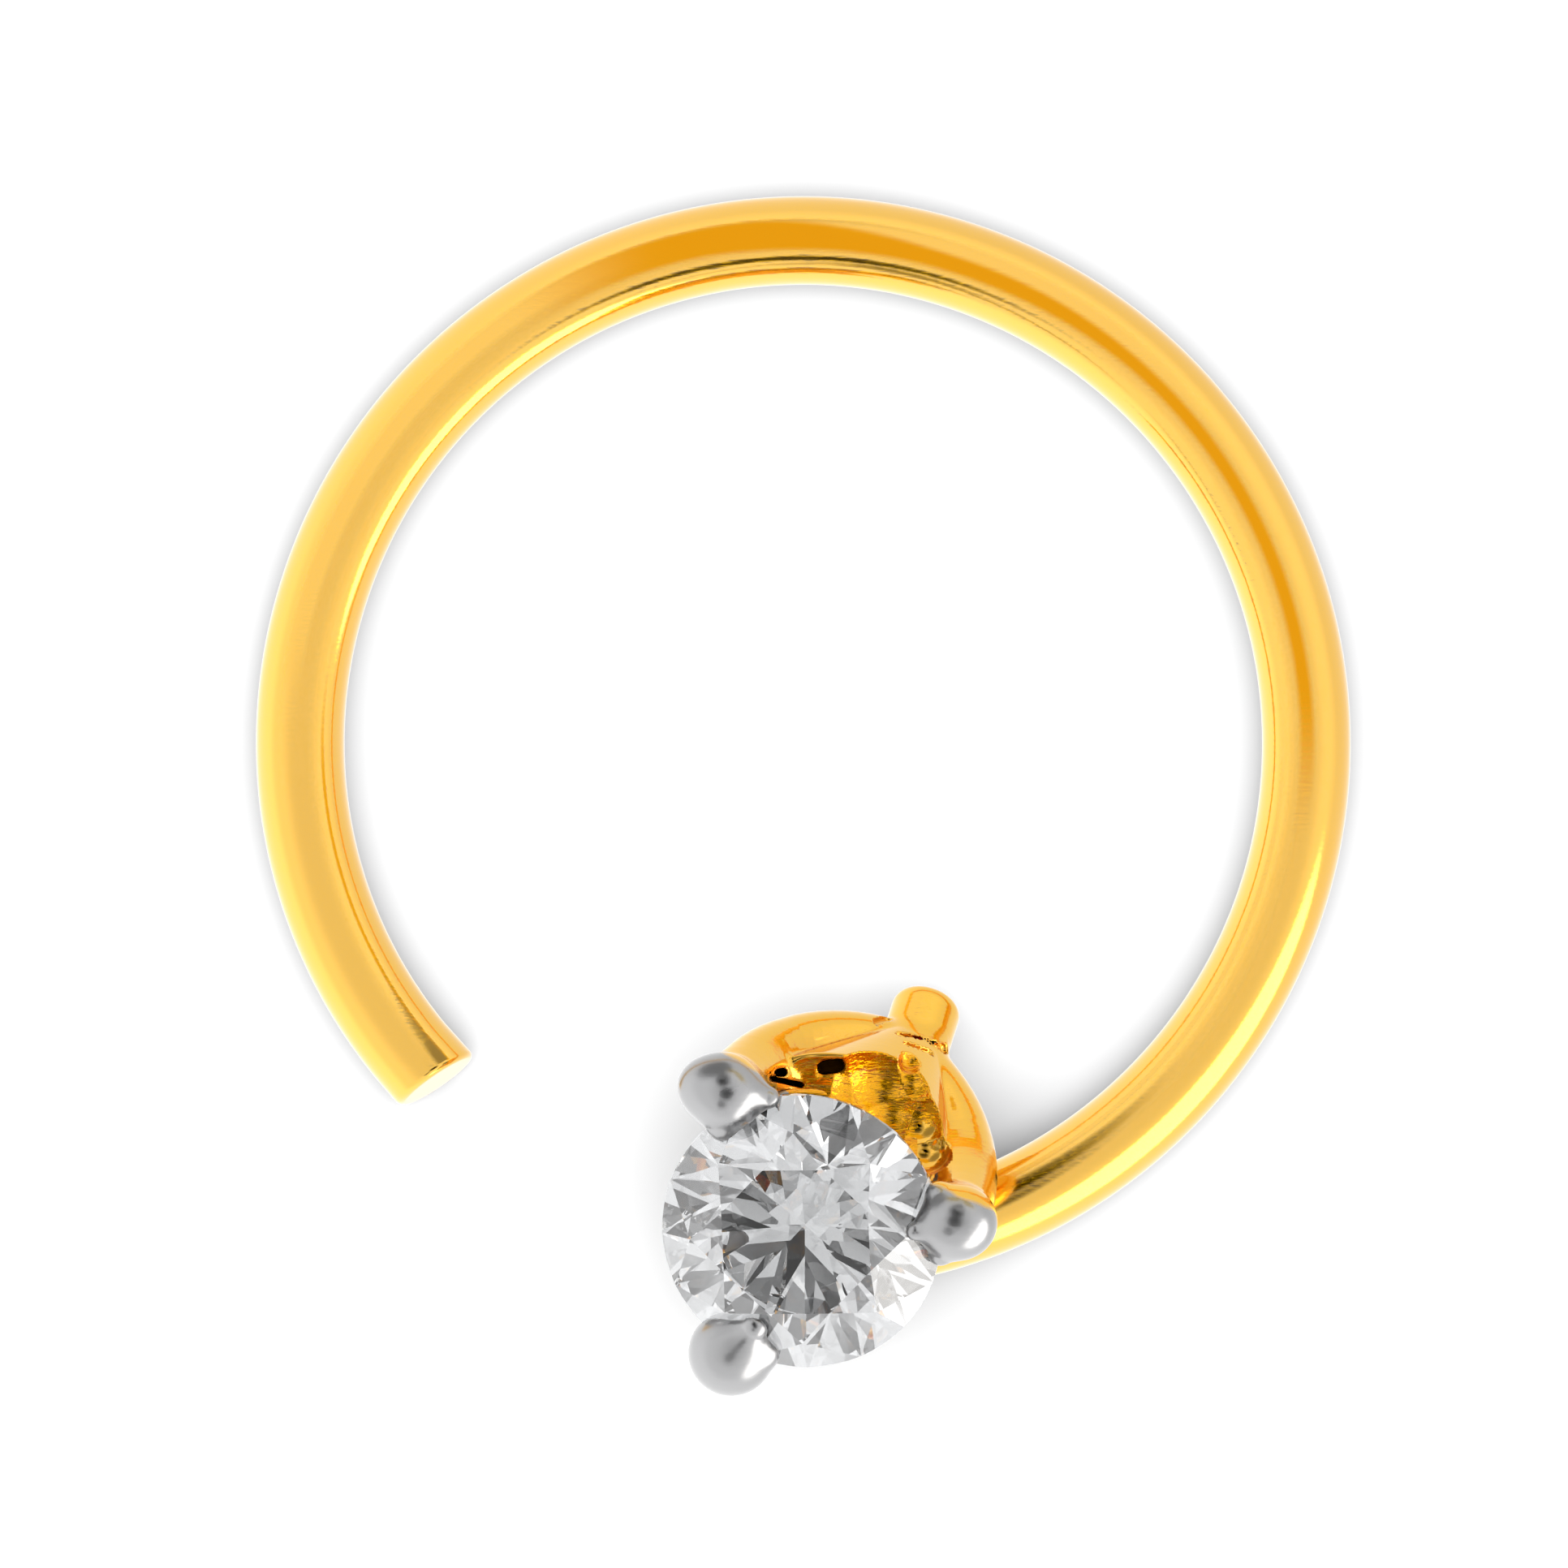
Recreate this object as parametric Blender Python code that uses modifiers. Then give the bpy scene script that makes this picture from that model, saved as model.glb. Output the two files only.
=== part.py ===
"""Gold nose pin: an open hoop of round wire with a three-claw head and one round brilliant.

The pin lies on its side. +Z is up from the surface, the hoop lies flat on it, and the stone
faces up, leaning a little towards the open side of the hoop. Lengths are in metres. The origin
is under the middle of the whole pin, on the surface.
"""
import math
from collections import namedtuple

import bmesh
import bpy
from mathutils import Matrix, Vector

MM = 0.001

# Hoop of round wire, measured on its centre line from the hoop's centre
HOOP_RADIUS = 4.143 * MM
WIRE_DIAMETER = 0.73 * MM
FREE_END_ANGLE = math.radians(222.7)
HIDDEN_END_PAST = 0.29 * MM          # the soldered end runs past the hoop's foremost point
PULL_IN = 0.045 * MM                 # the free end is bent in by hand a little
PULL_IN_ANGLE = math.radians(45.0)   # over this much of the hoop
CUT_SKEW = math.radians(-9.0)        # the snipped end is not quite square
CUT_LEAN = math.radians(9.5)         # and its face looks up a little
FILED_RIM = 0.05 * MM

# Round brilliant, with its proportions as shares of the diameter
STONE_DIAMETER = 2.3 * MM
TABLE_SHARE = 0.57
CROWN_ANGLE = math.radians(34.5)
GIRDLE_SHARE = 0.03
PAVILION_ANGLE = math.radians(40.8)
STAR_SHARE = 0.52                    # length of the star facets on the crown
LOWER_HALF_SHARE = 0.77              # length of the lower girdle facets on the pavilion

# How the stone stands on the hoop
STONE_LEFT = 0.013 * MM              # of the hoop's middle
STONE_INSET = 0.156 * MM             # inside the wire's centre line
CULET_OVER_WIRE = 0.283 * MM
STONE_LEAN = math.radians(16.0)
STONE_TURN = math.radians(8.0)       # of the facets about the stone's own axis
BASE_DIRECTION = math.radians(61.0)  # the head's base lies this way from the stone

# Base of the head: where the legs meet, and the short peg behind it
BASE_BEYOND = 0.56 * MM              # the stone's edge, level
BASE_SWING = math.radians(-3.2)      # and this much round from the base direction
BASE_OVER_WIRE = 0.09 * MM
PEG_DIAMETER = 0.57 * MM
PEG_LENGTH = 0.53 * MM
PEG_DIRECTION = math.radians(72.0)
PEG_DROP = math.radians(35.0)
PEG_CHAMFER = 0.07 * MM

# Seat ring under the girdle, and cup under the pavilion. Depths are below the middle of the
# girdle, and shifts are along the stone's up-slope.
RING_INSIDE = 0.13 * MM              # of its centre line, inside the stone's edge
RING_THICKNESS = 0.24 * MM
RING_DEPTH = 0.34 * MM
RING_SHIFT = 0.03 * MM
CUP_INSIDE = 0.04 * MM               # of its mouth, inside the stone's edge
CUP_DEPTH = 0.60 * MM
CUP_SHIFT = 0.27 * MM
CUP_FOOT_RADIUS = 0.27 * MM
SEAT_CLEARANCE = 0.025 * MM
CULET_CLEARANCE = 0.10 * MM

# Claws. Each stands at an angle round the stone, from the base direction, with its dome's middle
# beyond the stone's edge and its tip inside it, over the crown. Its leg leaves downwards and out,
# and comes to the base along a second handle, both in the stone's own directions. Lengths here
# are shares of the stone's radius, and angles are degrees.
Claw = namedtuple("Claw", "name angle beyond dome tip_turn tip_inside tip leg_top leg_low "
                          "out side down base_along base_across base_up")
CLAWS = (
    Claw("upper", 56.3, 0.157, 0.278, 9.0, 0.035, 0.130, 0.209, 0.174,
         0.209, -0.122, 0.791, 0.0, 0.596, 0.110),
    Claw("right", -56.0, 0.139, 0.270, 0.0, 0.130, 0.096, 0.217, 0.196,
         0.191, 0.078, 0.852, 0.122, -0.318, 0.037),
    Claw("lower", 179.2, 0.035, 0.304, 0.0, 0.113, 0.157, 0.217, 0.174,
         0.087, 0.0, 0.826, -0.841, 0.026, -0.175),
)
LEG_INSET = 0.06 * MM                # the leg stands this much inside the claw's dome
LEG_TAPER = 0.45                     # share of the leg over which it thins
DOME_RISE = 0.06 * MM                # of the dome's middle above the middle of the girdle
TIP_OVER = 0.09 * MM                 # of the tip's middle above the crown under it

# Steps and sides of the meshes
WIRE_STEPS = 104
LEG_STEPS = 16
DOME_SIDES = 18
GIRDLE_SIDES = 64
TURNED_SIDES = 48
RING_TUBE_SIDES = 10
ROD_BEVEL = 4
WELD = 0.001 * MM

STONE_RADIUS = STONE_DIAMETER / 2
HALF_GIRDLE = GIRDLE_SHARE * STONE_DIAMETER / 2
CROWN_TOP = HALF_GIRDLE + STONE_RADIUS * (1 - TABLE_SHARE) * math.tan(CROWN_ANGLE)
CULET_DEPTH = HALF_GIRDLE + STONE_RADIUS * math.tan(PAVILION_ANGLE)
WIRE_RADIUS = WIRE_DIAMETER / 2
PEG_RADIUS = PEG_DIAMETER / 2

GOLD = (0.86, 0.56, 0.13, 1.0)
DIAMOND = (0.93, 0.94, 0.95, 1.0)


def direction(heading, rise):
    """A unit vector by its heading on the surface and its rise above it."""
    return Vector((math.cos(heading) * math.cos(rise),
                   math.sin(heading) * math.cos(rise),
                   math.sin(rise)))


# The stone's own frame: up-slope and level directions in its girdle, and its normal
STONE_HEIGHT = WIRE_DIAMETER + CULET_OVER_WIRE + CULET_DEPTH * math.cos(STONE_LEAN)
CENTRE = Vector((-STONE_LEFT, STONE_INSET - HOOP_RADIUS, STONE_HEIGHT))
ALONG = direction(BASE_DIRECTION, STONE_LEAN)
ACROSS = direction(BASE_DIRECTION + math.pi / 2, 0.0)
NORMAL = ALONG.cross(ACROSS)

BASE = (Vector((CENTRE.x, CENTRE.y, WIRE_DIAMETER + BASE_OVER_WIRE))
        + direction(BASE_DIRECTION + BASE_SWING, 0.0) * (STONE_RADIUS + BASE_BEYOND))
PEG_AXIS = direction(PEG_DIRECTION, -PEG_DROP)


def in_stone_directions(along, across, up):
    return ALONG * along + ACROSS * across + NORMAL * up


def round_the_stone(angle):
    """The direction away from the stone's axis, at an angle from the base direction."""
    return in_stone_directions(math.cos(angle), math.sin(angle), 0.0)


def stone_matrix():
    turn = Matrix((ALONG, ACROSS, NORMAL)).transposed().to_4x4()
    return Matrix.Translation(CENTRE) @ turn


# Small helpers

def clear_scene():
    for old in list(bpy.data.objects):
        bpy.data.objects.remove(old, do_unlink=True)


def make_collection(name):
    made = bpy.data.collections.new(name)
    bpy.context.scene.collection.children.link(made)
    return made


def make_material(name, colour, roughness, metallic):
    made = bpy.data.materials.new(name)
    made.use_nodes = True
    shader = made.node_tree.nodes["Principled BSDF"]
    shader.inputs["Base Color"].default_value = colour
    shader.inputs["Roughness"].default_value = roughness
    shader.inputs["Metallic"].default_value = metallic
    return made


def add_object(name, mesh, collection, root):
    made = bpy.data.objects.new(name, mesh)
    collection.objects.link(made)
    made.parent = root
    return made


def bend(start, first, second, end, steps):
    """Points along a bent rod from start to end, shaped by two handles."""
    points = []
    for step in range(steps + 1):
        t = step / steps
        s = 1 - t
        points.append(start * s ** 3 + first * (3 * s * s * t) + second * (3 * s * t * t)
                      + end * t ** 3)
    return points


def round_nose(points, radii):
    """Carries a rod on past its last point into a round nose of the rod's own radius."""
    last = points[-1].copy()
    forward = (points[-1] - points[-2]).normalized()
    radius = radii[-1]
    for degrees in (25, 48, 68, 84):
        angle = math.radians(degrees)
        points.append(last + forward * (radius * math.sin(angle)))
        radii.append(radius * math.cos(angle))


def make_rod(name, points, radii, collection, root):
    """A closed rod along the points, with its own radius at each one."""
    curve = bpy.data.curves.new(name, "CURVE")
    curve.dimensions = "3D"
    curve.bevel_depth = max(radii)
    curve.bevel_resolution = ROD_BEVEL
    curve.use_fill_caps = True
    spline = curve.splines.new("POLY")
    spline.points.add(len(points) - 1)
    for spot, place, radius in zip(spline.points, points, radii):
        spot.co = (*place, 1.0)
        spot.radius = radius / curve.bevel_depth
    drawn = bpy.data.objects.new(name, curve)
    collection.objects.link(drawn)
    seen = drawn.evaluated_get(bpy.context.evaluated_depsgraph_get())
    mesh = bpy.data.meshes.new_from_object(seen)
    bpy.data.objects.remove(drawn)
    shaped = bmesh.new()
    shaped.from_mesh(mesh)
    bmesh.ops.remove_doubles(shaped, verts=shaped.verts, dist=WELD)
    bmesh.ops.recalc_face_normals(shaped, faces=shaped.faces)
    shaped.to_mesh(mesh)
    shaped.free()
    return add_object(name, mesh, collection, root)


# Hoop

def hoop_point(angle):
    """The wire's centre line at an angle round the hoop."""
    share = max(0.0, (angle - FREE_END_ANGLE) / PULL_IN_ANGLE + 1)
    radius = HOOP_RADIUS - PULL_IN * share * share
    return Vector((radius * math.cos(angle), radius * math.sin(angle), WIRE_RADIUS))


def make_hoop(collection, root):
    hidden_end_angle = -math.pi / 2 - HIDDEN_END_PAST / HOOP_RADIUS
    step = (FREE_END_ANGLE - hidden_end_angle) / WIRE_STEPS
    points = [hoop_point(FREE_END_ANGLE - step * k) for k in range(WIRE_STEPS + 1)]
    outward = (points[0] - points[1]).normalized()
    cut_at = points[0]
    points[0] = cut_at + outward * WIRE_DIAMETER
    radii = [WIRE_RADIUS] * len(points)
    round_nose(points, radii)
    hoop = make_rod("wire_and_setting", points, radii, collection, root)
    snip_free_end(hoop.data, cut_at, outward)
    return hoop


def snip_free_end(mesh, cut_at, outward):
    """Cuts the spare length off the free end and files the rim of the cut."""
    heading = math.atan2(outward.y, outward.x)
    face = direction(heading + CUT_SKEW, CUT_LEAN)
    shaped = bmesh.new()
    shaped.from_mesh(mesh)
    near = [v for v in shaped.verts if (v.co - cut_at).length < 2 * WIRE_DIAMETER]
    edges = list({e for v in near for e in v.link_edges})
    faces = list({f for v in near for f in v.link_faces})
    cut = bmesh.ops.bisect_plane(shaped, geom=near + edges + faces, plane_co=cut_at,
                                 plane_no=face, clear_outer=True, dist=WELD / 10)
    rim = [g for g in cut["geom_cut"] if isinstance(g, bmesh.types.BMEdge)]
    bmesh.ops.edgeloop_fill(shaped, edges=rim)
    bmesh.ops.bevel(shaped, geom=rim, offset=FILED_RIM, segments=2, profile=0.5,
                    affect="EDGES")
    bmesh.ops.recalc_face_normals(shaped, faces=shaped.faces)
    shaped.to_mesh(mesh)
    shaped.free()


# Head

def make_ball(name, centre, radius, collection, root):
    mesh = bpy.data.meshes.new(name)
    shaped = bmesh.new()
    bmesh.ops.create_uvsphere(shaped, u_segments=DOME_SIDES, v_segments=DOME_SIDES // 2,
                              radius=radius)
    shaped.to_mesh(mesh)
    shaped.free()
    ball = add_object(name, mesh, collection, root)
    ball.matrix_local = stone_matrix()
    ball.location = centre
    return ball


def make_claw(claw, collection, root):
    """One claw: its dome over the girdle, its tip over the crown and its leg to the base."""
    angle = math.radians(claw.angle)
    radial = round_the_stone(angle)
    sideways = NORMAL.cross(radial)
    dome_at = CENTRE + radial * (1 + claw.beyond) * STONE_RADIUS + NORMAL * DOME_RISE
    tip_inside = claw.tip_inside * STONE_RADIUS
    tip_rise = HALF_GIRDLE + tip_inside * math.tan(CROWN_ANGLE) + TIP_OVER
    tip_radial = round_the_stone(angle + math.radians(claw.tip_turn))
    tip_at = CENTRE + tip_radial * (STONE_RADIUS - tip_inside) + NORMAL * tip_rise
    make_ball(claw.name + "_dome", dome_at, claw.dome * STONE_RADIUS, collection, root)

    points = [dome_at, dome_at.lerp(tip_at, 0.5), tip_at]
    radii = [share * STONE_RADIUS
             for share in (claw.dome * 0.97, (claw.dome + claw.tip) / 2, claw.tip)]
    round_nose(points, radii)
    make_rod(claw.name + "_tip", points, radii, collection, root)

    top = dome_at - radial * LEG_INSET
    first = top + (radial * claw.out + sideways * claw.side - NORMAL * claw.down) * STONE_RADIUS
    second = BASE + STONE_RADIUS * in_stone_directions(claw.base_along, claw.base_across,
                                                       claw.base_up)
    points = bend(top, first, second, BASE, LEG_STEPS)
    radii = []
    for step in range(LEG_STEPS + 1):
        thinning = min(1.0, step / (LEG_STEPS * LEG_TAPER))
        thick = claw.leg_top + (claw.leg_low - claw.leg_top) * thinning
        radii.append(thick * STONE_RADIUS)
    make_rod(claw.name + "_leg", points, radii, collection, root)


def make_peg(collection, root):
    """The short round peg behind the legs, with a round inner end where they meet."""
    end = BASE + PEG_AXIS * PEG_LENGTH
    shoulder = BASE + PEG_AXIS * (PEG_LENGTH - PEG_CHAMFER)
    points = [end, shoulder, BASE]
    radii = [PEG_RADIUS - PEG_CHAMFER, PEG_RADIUS, PEG_RADIUS]
    round_nose(points, radii)
    make_rod("peg", points, radii, collection, root)


def make_cup(collection, root):
    """The cup under the stone, drawn from its round mouth down to a round foot at the base."""
    mouth = stone_matrix() @ Matrix.Translation((CUP_SHIFT, 0.0, -CUP_DEPTH))
    shaped = bmesh.new()
    bmesh.ops.create_circle(shaped, segments=TURNED_SIDES, radius=STONE_RADIUS - CUP_INSIDE,
                            matrix=mouth)
    bmesh.ops.create_uvsphere(shaped, u_segments=DOME_SIDES, v_segments=DOME_SIDES // 2,
                              radius=CUP_FOOT_RADIUS, matrix=Matrix.Translation(BASE))
    bmesh.ops.delete(shaped, geom=shaped.edges[:], context="EDGES_FACES")
    drawn = bmesh.ops.convex_hull(shaped, input=shaped.verts[:])
    inner = [g for g in drawn["geom_interior"] + drawn["geom_unused"]
             if isinstance(g, bmesh.types.BMVert)]
    bmesh.ops.delete(shaped, geom=list(set(inner)), context="VERTS")
    mesh = bpy.data.meshes.new("cup")
    shaped.to_mesh(mesh)
    shaped.free()
    add_object("cup", mesh, collection, root)


def make_seat_ring(collection, root):
    bpy.ops.mesh.primitive_torus_add(major_segments=TURNED_SIDES, minor_segments=RING_TUBE_SIDES,
                                     major_radius=STONE_RADIUS - RING_INSIDE,
                                     minor_radius=RING_THICKNESS / 2)
    ring = bpy.context.active_object
    ring.name = "seat_ring"
    for holder in list(ring.users_collection):
        holder.objects.unlink(ring)
    collection.objects.link(ring)
    ring.parent = root
    ring.matrix_local = stone_matrix()
    ring.location = CENTRE + in_stone_directions(RING_SHIFT, 0.0, -RING_DEPTH)
    return ring


def make_seat_bur(collection, root):
    """What the setting bur cuts away: the stone's outline turned round, with its clearance."""
    gap = SEAT_CLEARANCE
    wall = STONE_RADIUS + gap
    over = HALF_GIRDLE + gap / math.cos(CROWN_ANGLE)
    under = HALF_GIRDLE + gap / math.cos(PAVILION_ANGLE) - gap * math.tan(PAVILION_ANGLE)
    top = CROWN_TOP + gap
    top_radius = STONE_RADIUS - (top - over) / math.tan(CROWN_ANGLE)
    profile = (
        (0.0, top),
        (top_radius, top),
        (wall, over - gap * math.tan(CROWN_ANGLE)),
        (wall, -under),
        (0.0, -CULET_DEPTH - CULET_CLEARANCE),
    )
    mesh = bpy.data.meshes.new("seat_bur")
    edges = [(k, k + 1) for k in range(len(profile) - 1)]
    mesh.from_pydata([(x, 0.0, z) for x, z in profile], edges, [])
    bur = add_object("seat_bur", mesh, collection, root)
    bur.matrix_local = stone_matrix()
    turn = bur.modifiers.new("turn", "SCREW")
    turn.steps = TURNED_SIDES
    turn.render_steps = TURNED_SIDES
    turn.use_merge_vertices = True
    turn.merge_threshold = WELD
    return bur


def join_metal(hoop, soldered, bur):
    """Solders the pieces of the head to the hoop, then cuts the stone's seat."""
    solder = hoop.modifiers.new("solder", "BOOLEAN")
    solder.operation = "UNION"
    solder.operand_type = "COLLECTION"
    solder.collection = soldered
    solder.solver = "EXACT"
    seat = hoop.modifiers.new("seat", "BOOLEAN")
    seat.operation = "DIFFERENCE"
    seat.object = bur
    seat.solver = "EXACT"
    tidy = hoop.modifiers.new("tidy", "WELD")
    tidy.merge_threshold = WELD


# Stone

def polar(angle, radius, height):
    return Vector((radius * math.cos(angle), radius * math.sin(angle), height))


def grind(rough, point, normal):
    """Takes one flat off the rough stone."""
    whole = rough.verts[:] + rough.edges[:] + rough.faces[:]
    cut = bmesh.ops.bisect_plane(rough, geom=whole, plane_co=point, plane_no=normal,
                                 clear_outer=True, dist=1e-5)
    rim = [g for g in cut["geom_cut"] if isinstance(g, bmesh.types.BMEdge)]
    bmesh.ops.edgeloop_fill(rough, edges=rim)


def grind_through(rough, a, b, c):
    """Takes off the flat through three points, on the side away from the stone's middle."""
    normal = (b - a).cross(c - a).normalized()
    if normal.dot(a) < 0:
        normal.negate()
    grind(rough, a, normal)


def make_stone(collection, root):
    """A round brilliant ground from a cylinder of radius 1, then brought to its size."""
    girdle = HALF_GIRDLE / STONE_RADIUS
    table = CROWN_TOP / STONE_RADIUS
    crown = math.tan(CROWN_ANGLE)
    pavilion = math.tan(PAVILION_ANGLE)
    step = math.radians(45)
    off_main = math.cos(step / 2)
    star_reach = TABLE_SHARE * off_main + STAR_SHARE * (1 - TABLE_SHARE * off_main)
    star_height = girdle + crown * (1 - star_reach * off_main)
    low_reach = 1 - LOWER_HALF_SHARE
    low_height = -girdle - pavilion * (1 - low_reach * off_main)

    rough = bmesh.new()
    bmesh.ops.create_cone(rough, cap_ends=True, segments=GIRDLE_SIDES, radius1=1, radius2=1,
                          depth=4)
    grind(rough, Vector((0, 0, table)), Vector((0, 0, 1)))
    for k in range(8):
        grind(rough, polar(k * step, 1, girdle),
              polar(k * step, math.sin(CROWN_ANGLE), math.cos(CROWN_ANGLE)))
        grind(rough, polar(k * step, 1, -girdle),
              polar(k * step, math.sin(PAVILION_ANGLE), -math.cos(PAVILION_ANGLE)))
    for k in range(8):
        left = k * step
        middle = left + step / 2
        right = left + step
        star = polar(middle, star_reach, star_height)
        low = polar(middle, low_reach, low_height)
        grind_through(rough, polar(left, TABLE_SHARE, table), polar(right, TABLE_SHARE, table),
                      star)
        for side in (left, right):
            grind_through(rough, star, polar(side, 1, girdle), polar(middle, 1, girdle))
            grind_through(rough, low, polar(side, 1, -girdle), polar(middle, 1, -girdle))
    bmesh.ops.remove_doubles(rough, verts=rough.verts, dist=1e-3)
    bmesh.ops.scale(rough, vec=(STONE_RADIUS,) * 3, verts=rough.verts)
    mesh = bpy.data.meshes.new("stone")
    rough.to_mesh(mesh)
    rough.free()
    stone = add_object("stone", mesh, collection, root)
    stone.matrix_local = stone_matrix() @ Matrix.Rotation(STONE_TURN, 4, "Z")
    return stone


# The whole pin

def centre_on_surface(root, pieces):
    """Moves the pin so that the origin is under its middle, on the surface."""
    bpy.context.view_layer.update()
    deps = bpy.context.evaluated_depsgraph_get()
    corners = []
    for piece in pieces:
        seen = piece.evaluated_get(deps)
        corners += [seen.matrix_world @ v.co for v in seen.data.vertices]
    low = Vector([min(c[axis] for c in corners) for axis in range(3)])
    high = Vector([max(c[axis] for c in corners) for axis in range(3)])
    root.location = (-(low.x + high.x) / 2, -(low.y + high.y) / 2, -low.z)


def main():
    clear_scene()
    pin = make_collection("nose_pin")
    soldered = make_collection("soldered_pieces")
    cutters = make_collection("cutters")
    root = bpy.data.objects.new("nose_pin_frame", None)
    pin.objects.link(root)

    hoop = make_hoop(pin, root)
    for claw in CLAWS:
        make_claw(claw, soldered, root)
    make_peg(soldered, root)
    make_cup(soldered, root)
    make_seat_ring(soldered, root)
    bur = make_seat_bur(cutters, root)
    join_metal(hoop, soldered, bur)
    stone = make_stone(pin, root)

    for guide in list(soldered.objects) + list(cutters.objects):
        guide.hide_render = True
        guide.display_type = "WIRE"
    gold = make_material("gold", GOLD, 0.18, 1.0)
    hoop.data.materials.append(gold)
    hoop.data.shade_smooth()
    stone.data.materials.append(make_material("diamond", DIAMOND, 0.02, 0.0))
    centre_on_surface(root, (hoop, stone))


main()
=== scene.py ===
"""Looks of the gold nose pin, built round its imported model.

The hoop is swept finely along the same line as its solid. The head is modelled as one cast and
soldered form, with the fillets, creases and worn edges of the real one. The stone stays as cut.
Lengths here are in millimetres until a mesh is made.
"""

import math

import bpy
import numpy as np
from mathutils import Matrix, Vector


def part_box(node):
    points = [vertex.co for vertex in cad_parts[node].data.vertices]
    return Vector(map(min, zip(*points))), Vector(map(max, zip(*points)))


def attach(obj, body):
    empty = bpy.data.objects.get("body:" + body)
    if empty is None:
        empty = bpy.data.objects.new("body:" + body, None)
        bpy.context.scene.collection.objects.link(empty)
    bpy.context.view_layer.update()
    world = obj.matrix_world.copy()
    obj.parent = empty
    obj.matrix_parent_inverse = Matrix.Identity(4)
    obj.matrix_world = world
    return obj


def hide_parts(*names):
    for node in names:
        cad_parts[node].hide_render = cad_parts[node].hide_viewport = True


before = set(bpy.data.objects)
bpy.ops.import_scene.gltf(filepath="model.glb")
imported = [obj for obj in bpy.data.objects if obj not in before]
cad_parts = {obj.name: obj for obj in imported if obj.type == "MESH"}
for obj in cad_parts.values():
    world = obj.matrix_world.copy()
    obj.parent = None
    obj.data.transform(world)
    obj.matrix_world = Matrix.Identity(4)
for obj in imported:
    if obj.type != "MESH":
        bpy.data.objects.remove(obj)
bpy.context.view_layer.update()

MM = 0.001

# Hoop
HOOP_RADIUS = 4.143
WIRE_RADIUS = 0.365
FREE_END = math.radians(222.7)
PAST_BOTTOM = 0.29
HIDDEN_END = -math.pi / 2 - PAST_BOTTOM / HOOP_RADIUS
PULL_IN = 0.045
PULL_IN_ANGLE = math.radians(45.0)
CUT_SKEW = math.radians(-9.0)
CUT_LEAN = math.radians(9.5)
FILED_RIM = 0.055
CUT_ROOM = 0.3
WIRE_SIDES = 64
WIRE_STEPS = 420

# Stone
STONE_RADIUS = 1.15
HALF_GIRDLE = 0.0345
CROWN_SHARE = 0.43
CROWN_ANGLE = math.radians(34.5)
PAVILION_ANGLE = math.radians(40.8)
CROWN_TOP = HALF_GIRDLE + STONE_RADIUS * CROWN_SHARE * math.tan(CROWN_ANGLE)
CULET_DEPTH = HALF_GIRDLE + STONE_RADIUS * math.tan(PAVILION_ANGLE)
CULET_OVER_WIRE = 0.283
STONE_ACROSS = -0.013
STONE_INWARD = 0.156
STONE_LEAN = math.radians(16.0)

# Where the legs meet, seen from the stone's middle, and the peg on it
BASE_DIRECTION = math.radians(61.0)
BASE_TURN = math.radians(3.2)
BASE_BEYOND = 0.56
BASE_OVER_WIRE = 0.09
PEG_HEADING = math.radians(72.0)
PEG_DROP = math.radians(35.0)

# Head. Depths are under the middle of the girdle, and shifts are along the stone's up-slope.
HEAD_CELL = 0.021
HEAD_LOW = np.array([-1.45, -5.40, 0.25])
HEAD_HIGH = np.array([1.85, -1.85, 2.65])
LAYERS_AT_ONCE = 12
FAR = 9.0
ROD_REACH = 0.25
TOUCH = 0.008
DOME_RISE = 0.06
LEG_INSET = 0.06
LEG_STEPS = 20
LEG_TAPER_STEPS = 9.0
PEG_RADIUS = 0.285
PEG_LENGTH = 0.53
PEG_HALF = 0.3
PEG_EDGE = 0.13
CUP_FOOT_RADIUS = 0.27
CUP_MOUTH_RADIUS = 1.08
CUP_DEPTH = 0.60
CUP_SHIFT = 0.27
CUP_SIDE_SHIFT = 0.05
CUP_ROOM = 0.15
CUP_SLANT = 0.45
RING_INSIDE = 0.16
RING_TUBE = 0.10
RING_DEPTH = 0.34
RING_SHIFT = 0.03

# Widths of the fillets and worn edges
WEDGE_FILLET = 0.12
LOBE_FILLET = 0.15
CLAW_FILLET = 0.05
LEG_FILLET = 0.04
LOWER_LEG_FILLET = 0.06
PEG_FILLET = 0.035
SOLDER_FILLET = 0.03
CUP_EDGE = 0.05
CARVED_EDGE = 0.03
TROUGH_EDGE = 0.04
SCOOP_EDGE = 0.005
CREASE_EDGE = 0.012
OPENING_EDGE = 0.035
MARK_EDGE = 0.02

# The photograph's frame, from the hoop's middle
VIEW_MIDDLE = (-0.159, -0.333)
VIEW_WIDTH = 12.88
VIEW_HEIGHT = 1.0
CAMERA_DISTANCE = 250.0
FLOOR_WIDTH = 180.0

box_low, box_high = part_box("wire_and_setting")
HOOP_MIDDLE = np.array([0.0, box_high.y / MM - HOOP_RADIUS - WIRE_RADIUS, 0.0])


def unit(v):
    return v / np.linalg.norm(v)


def direction(heading, rise):
    """A unit direction from its compass angle and its angle over level."""
    return np.array([math.cos(heading) * math.cos(rise),
                     math.sin(heading) * math.cos(rise),
                     math.sin(rise)])


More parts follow.
